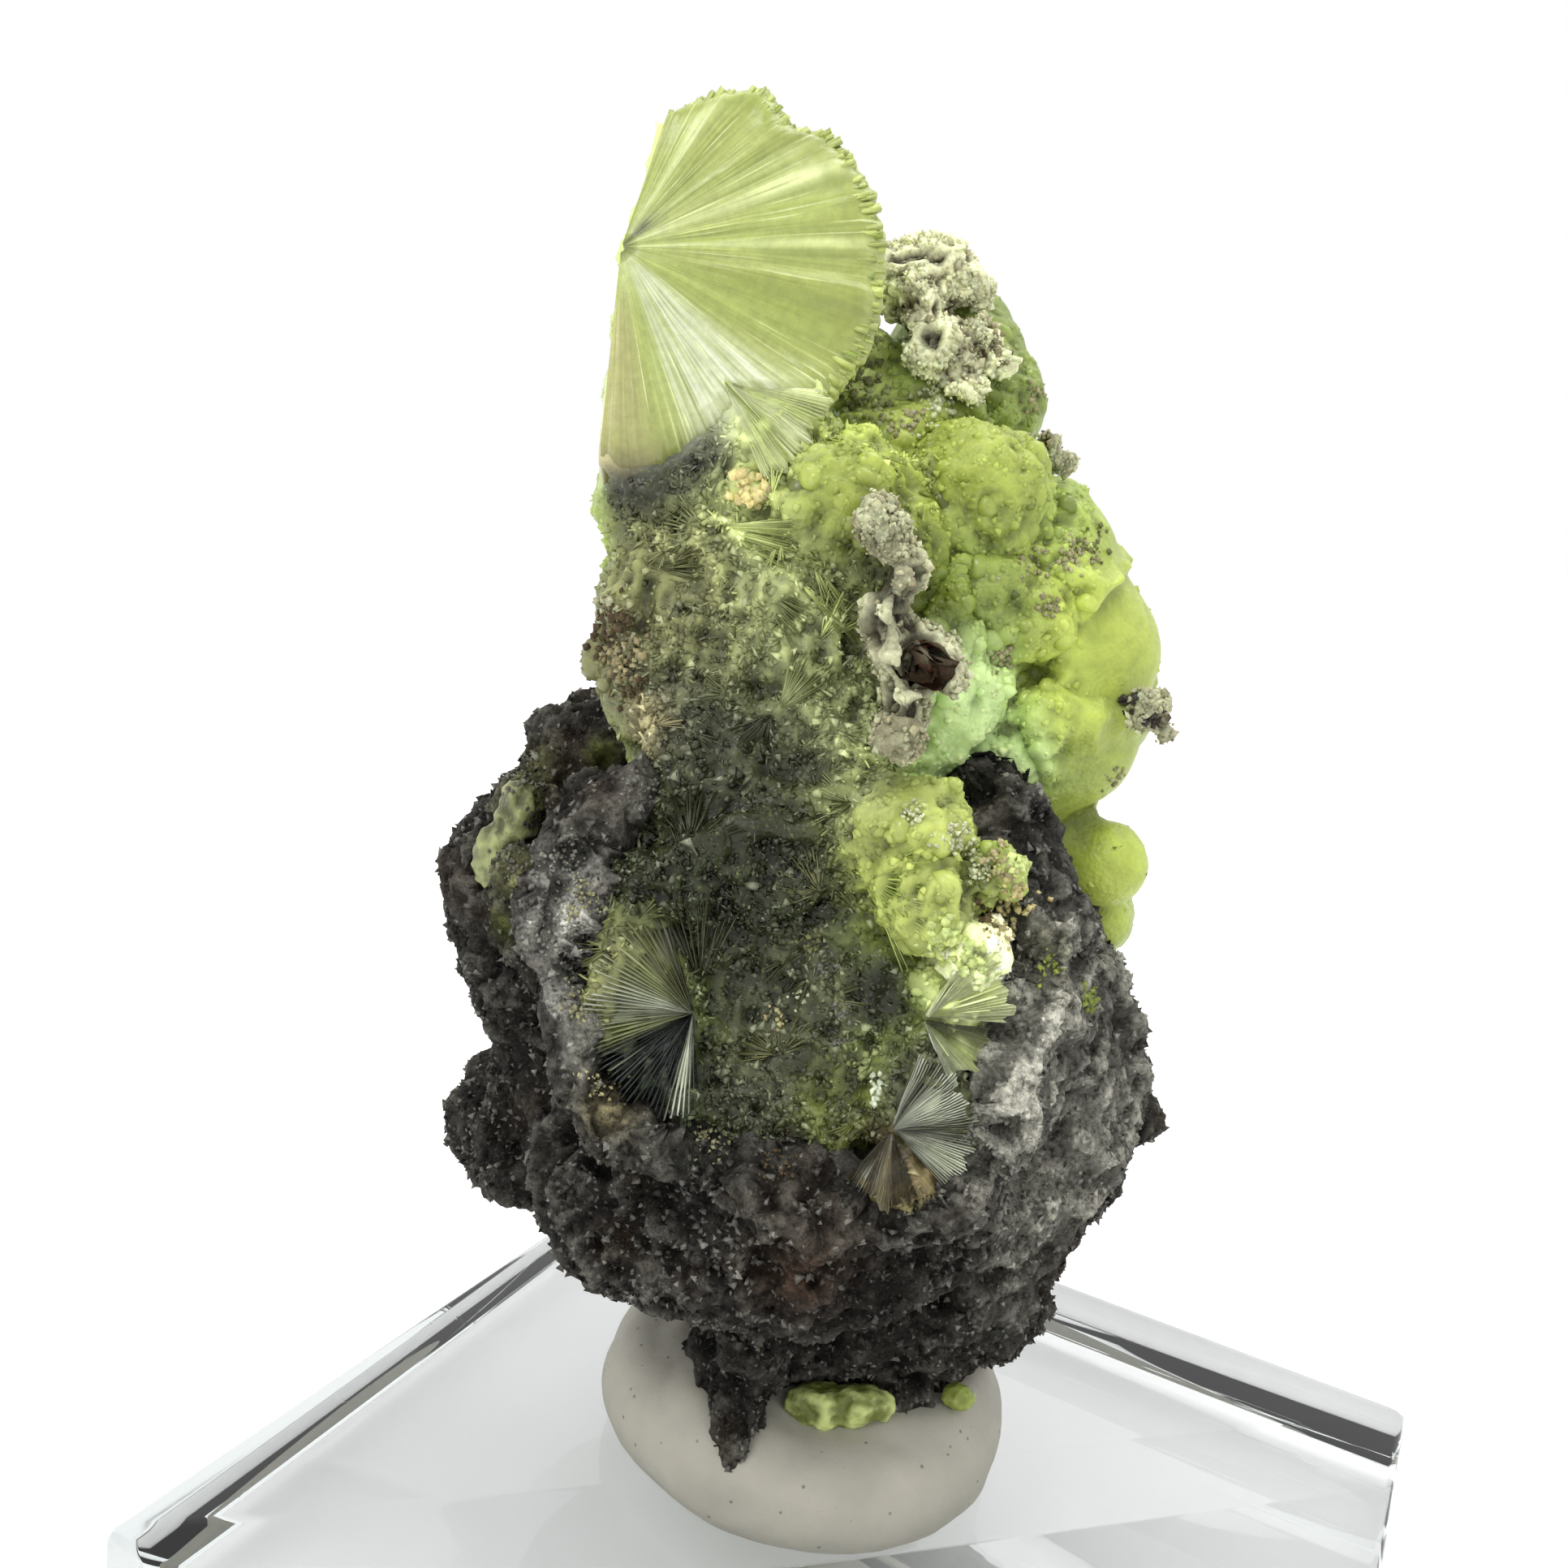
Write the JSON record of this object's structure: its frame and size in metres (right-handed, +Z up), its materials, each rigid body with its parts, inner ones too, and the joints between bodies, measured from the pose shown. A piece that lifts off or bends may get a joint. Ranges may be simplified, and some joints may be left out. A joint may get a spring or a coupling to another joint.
{
  "type": "wavellite specimen",
  "caption": "Lime-green wavellite, a radiating fan above botryoidal lumps, on dark rock set with putty on a clear square slab.",
  "frame": {"origin": "the middle of the clear slab's underside", "axes": "+Z up, +X and +Y along the slab's sides; the good face looks towards -Y and a little towards +X"},
  "size_m": [0.0318, 0.0318, 0.0469],
  "materials": {
    "acrylic": "clear polished acrylic, edges bright, a few fine scratches",
    "putty": "matte warm light grey putty with tiny dark specks",
    "rock": "rough charcoal rock with light grey sparkling grains and brownish hollows",
    "wavellite": "translucent lime to yellow-green, silky radiating fibres on broken faces, waxy bumps elsewhere",
    "crust": "rough grey-brown iron-stained crust with dark pits"
  },
  "bodies": {
    "root": {"acrylic_base": "acrylic", "mounting_putty": "putty", "matrix_rock": "rock", "wavellite": "wavellite", "wavellite_left_patch": "wavellite", "wavellite_foot_patch": "wavellite", "wavellite_foot_bead": "wavellite", "crust_ridge": "crust", "crust_top": "crust", "crust_knob_upper": "crust", "crust_knob_lower": "crust"}
  },
  "joints": []
}
